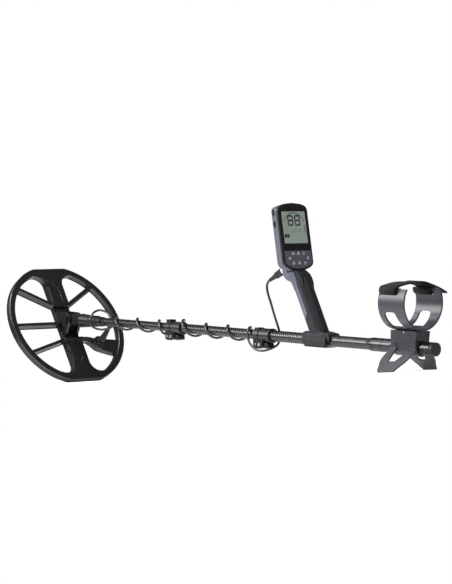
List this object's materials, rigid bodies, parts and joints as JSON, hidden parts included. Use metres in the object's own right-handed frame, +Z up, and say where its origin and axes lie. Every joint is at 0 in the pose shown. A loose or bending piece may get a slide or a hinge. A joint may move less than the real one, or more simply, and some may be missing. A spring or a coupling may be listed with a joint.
{
  "type": "metal detector",
  "caption": "Handheld metal detector: spoked ring coil on a telescopic shaft, pistol grip with display pod, forearm cuff with stand, cable wound along the shaft.",
  "frame": {"origin": "middle of the footprint box, on the floor under the heel edge of the coil and the two feet", "axes": "+X from the coil back towards the armrest, +Y to the user's right, +Z up"},
  "size_m": [1.1618, 0.28, 0.321],
  "materials": {
    "coil_plastic": "moulded glass-filled nylon, fine matt grain",
    "skid_plastic": "moulded black polycarbonate",
    "copper_winding": "enamelled copper wire, potted",
    "cable_jacket": "smooth polyurethane jacket",
    "black_rubber": "moulded rubber, satin",
    "lock_plastic": "moulded nylon, satin",
    "carbon_tube": "carbon-fibre twill tube under clear resin",
    "grip_plastic": "moulded ABS, satin blue-grey",
    "case_plastic": "moulded ABS, satin charcoal",
    "keypad_rubber": "silicone keypad, matt grey",
    "window_glass": "hard-coated polycarbonate window with black border",
    "lcd": "grey-green liquid crystal display",
    "board": "solder-masked circuit board",
    "bright_metal": "stainless steel, turned",
    "cell_wrap": "shrink-sleeved lithium cell",
    "armrest_plastic": "moulded nylon, light grey",
    "strap_webbing": "black hook-and-loop webbing"
  },
  "bodies": {
    "upper_shaft": {"upper_tube": "carbon_tube", "rear_cam_collar": "lock_plastic", "rear_cam_pins": "bright_metal", "grip_shell_left": "grip_plastic", "grip_shell_right": "grip_plastic", "grip_saddle": "case_plastic", "saddle_cap": "case_plastic", "case_screws": "bright_metal", "battery_cell": "cell_wrap", "pod_front_case": "case_plastic", "pod_gasket": "black_rubber", "pod_rear_case": "grip_plastic", "display_window": "window_glass", "display_module": "lcd", "circuit_board": "board", "keypad_panel": "keypad_rubber", "keypad_mat": "keypad_rubber", "speaker": "black_rubber", "coil_socket": "bright_metal", "headphone_socket": "black_rubber", "cable_tail": "cable_jacket", "cable_plug": "black_rubber", "sleeve_flare": "lock_plastic", "rear_sleeve": "carbon_tube", "end_cap": "black_rubber"},
    "middle_shaft": {"middle_tube": "carbon_tube", "front_cam_collar": "lock_plastic", "front_cam_pins": "bright_metal", "middle_plug": "black_rubber", "middle_wrap": "cable_jacket"},
    "lower_shaft": {"yoke": "lock_plastic", "pivot_washers": "black_rubber", "pivot_bolt": "lock_plastic", "lower_tube": "carbon_tube", "lower_plug": "black_rubber", "lower_wrap": "cable_jacket"},
    "coil": {"coil_shell": "coil_plastic", "skid_cover": "skid_plastic", "transmit_winding": "copper_winding", "receive_winding": "copper_winding", "coil_boot": "black_rubber", "coil_lead": "cable_jacket"},
    "hand_nut": {"hand_nut": "lock_plastic"},
    "front_lever": {"front_cam_lever": "lock_plastic"},
    "rear_lever": {"rear_cam_lever": "lock_plastic"},
    "power_button": {"power_button": "black_rubber"},
    "side_button": {"side_button": "black_rubber"},
    "armrest": {"armrest_stand": "armrest_plastic", "armrest_cuff": "armrest_plastic", "armrest_screws": "bright_metal", "strap": "strap_webbing"},
    "key_1": {"key_1": "black_rubber"},
    "key_2": {"key_2": "black_rubber"},
    "key_3": {"key_3": "black_rubber"},
    "key_4": {"key_4": "black_rubber"},
    "key_5": {"key_5": "black_rubber"},
    "key_6": {"key_6": "black_rubber"},
    "key_7": {"key_7": "black_rubber"},
    "key_8": {"key_8": "black_rubber"}
  },
  "joints": [
    {"name": "middle_slide", "type": "slide", "parent": "upper_shaft", "child": "middle_shaft", "axis": [0.9959, 0, -0.0904], "range_m": [-0.15, 0.205], "deforming": ["middle_wrap"]},
    {"name": "lower_slide", "type": "slide", "parent": "middle_shaft", "child": "lower_shaft", "axis": [0.9959, 0, -0.0904], "range_m": [-0.15, 0.21], "deforming": ["lower_wrap"]},
    {"name": "coil_tilt", "type": "hinge", "parent": "lower_shaft", "child": "coil", "pos_m": [-0.49383, 0, 0.13327], "axis": [0, 1, 0], "range_deg": [-53, 90], "deforming": ["coil_lead"]},
    {"name": "hand_nut_turn", "type": "hinge", "parent": "lower_shaft", "child": "hand_nut", "pos_m": [-0.49383, 0.025, 0.13327], "axis": [0, 1, 0], "range_deg": [0, 360]},
    {"name": "front_lever_open", "type": "hinge", "parent": "middle_shaft", "child": "front_lever", "pos_m": [-0.15676, 0, 0.08562], "axis": [0, 1, 0], "range_deg": [0, 100]},
    {"name": "rear_lever_open", "type": "hinge", "parent": "upper_shaft", "child": "rear_lever", "pos_m": [0.11206, 0, 0.06043], "axis": [0, 1, 0], "range_deg": [0, 100]},
    {"name": "armrest_slide", "type": "slide", "parent": "upper_shaft", "child": "armrest", "axis": [0.9959, 0, -0.0904], "range_m": [-0.03, 0.02]},
    {"name": "key_1_press", "type": "slide", "parent": "upper_shaft", "child": "key_1", "axis": [-0.9949, 0, -0.1013], "range_m": [0, 0.0006], "stiffness_N_per_m": 2500},
    {"name": "key_2_press", "type": "slide", "parent": "upper_shaft", "child": "key_2", "axis": [-0.9949, 0, -0.1013], "range_m": [0, 0.0006], "stiffness_N_per_m": 2500},
    {"name": "key_3_press", "type": "slide", "parent": "upper_shaft", "child": "key_3", "axis": [-0.9949, 0, -0.1013], "range_m": [0, 0.0006], "stiffness_N_per_m": 2500},
    {"name": "key_4_press", "type": "slide", "parent": "upper_shaft", "child": "key_4", "axis": [-0.9949, 0, -0.1013], "range_m": [0, 0.0006], "stiffness_N_per_m": 2500},
    {"name": "key_5_press", "type": "slide", "parent": "upper_shaft", "child": "key_5", "axis": [-0.9949, 0, -0.1013], "range_m": [0, 0.0006], "stiffness_N_per_m": 2500},
    {"name": "key_6_press", "type": "slide", "parent": "upper_shaft", "child": "key_6", "axis": [-0.9949, 0, -0.1013], "range_m": [0, 0.0006], "stiffness_N_per_m": 2500},
    {"name": "key_7_press", "type": "slide", "parent": "upper_shaft", "child": "key_7", "axis": [-0.9949, 0, -0.1013], "range_m": [0, 0.0006], "stiffness_N_per_m": 2500},
    {"name": "key_8_press", "type": "slide", "parent": "upper_shaft", "child": "key_8", "axis": [-0.9949, 0, -0.1013], "range_m": [0, 0.0006], "stiffness_N_per_m": 2500},
    {"name": "power_button_press", "type": "slide", "parent": "upper_shaft", "child": "power_button", "axis": [0, 1, 0], "range_m": [0, 0.0008], "stiffness_N_per_m": 2500},
    {"name": "side_button_press", "type": "slide", "parent": "upper_shaft", "child": "side_button", "axis": [0, 1, 0], "range_m": [0, 0.0008], "stiffness_N_per_m": 2500}
  ]
}
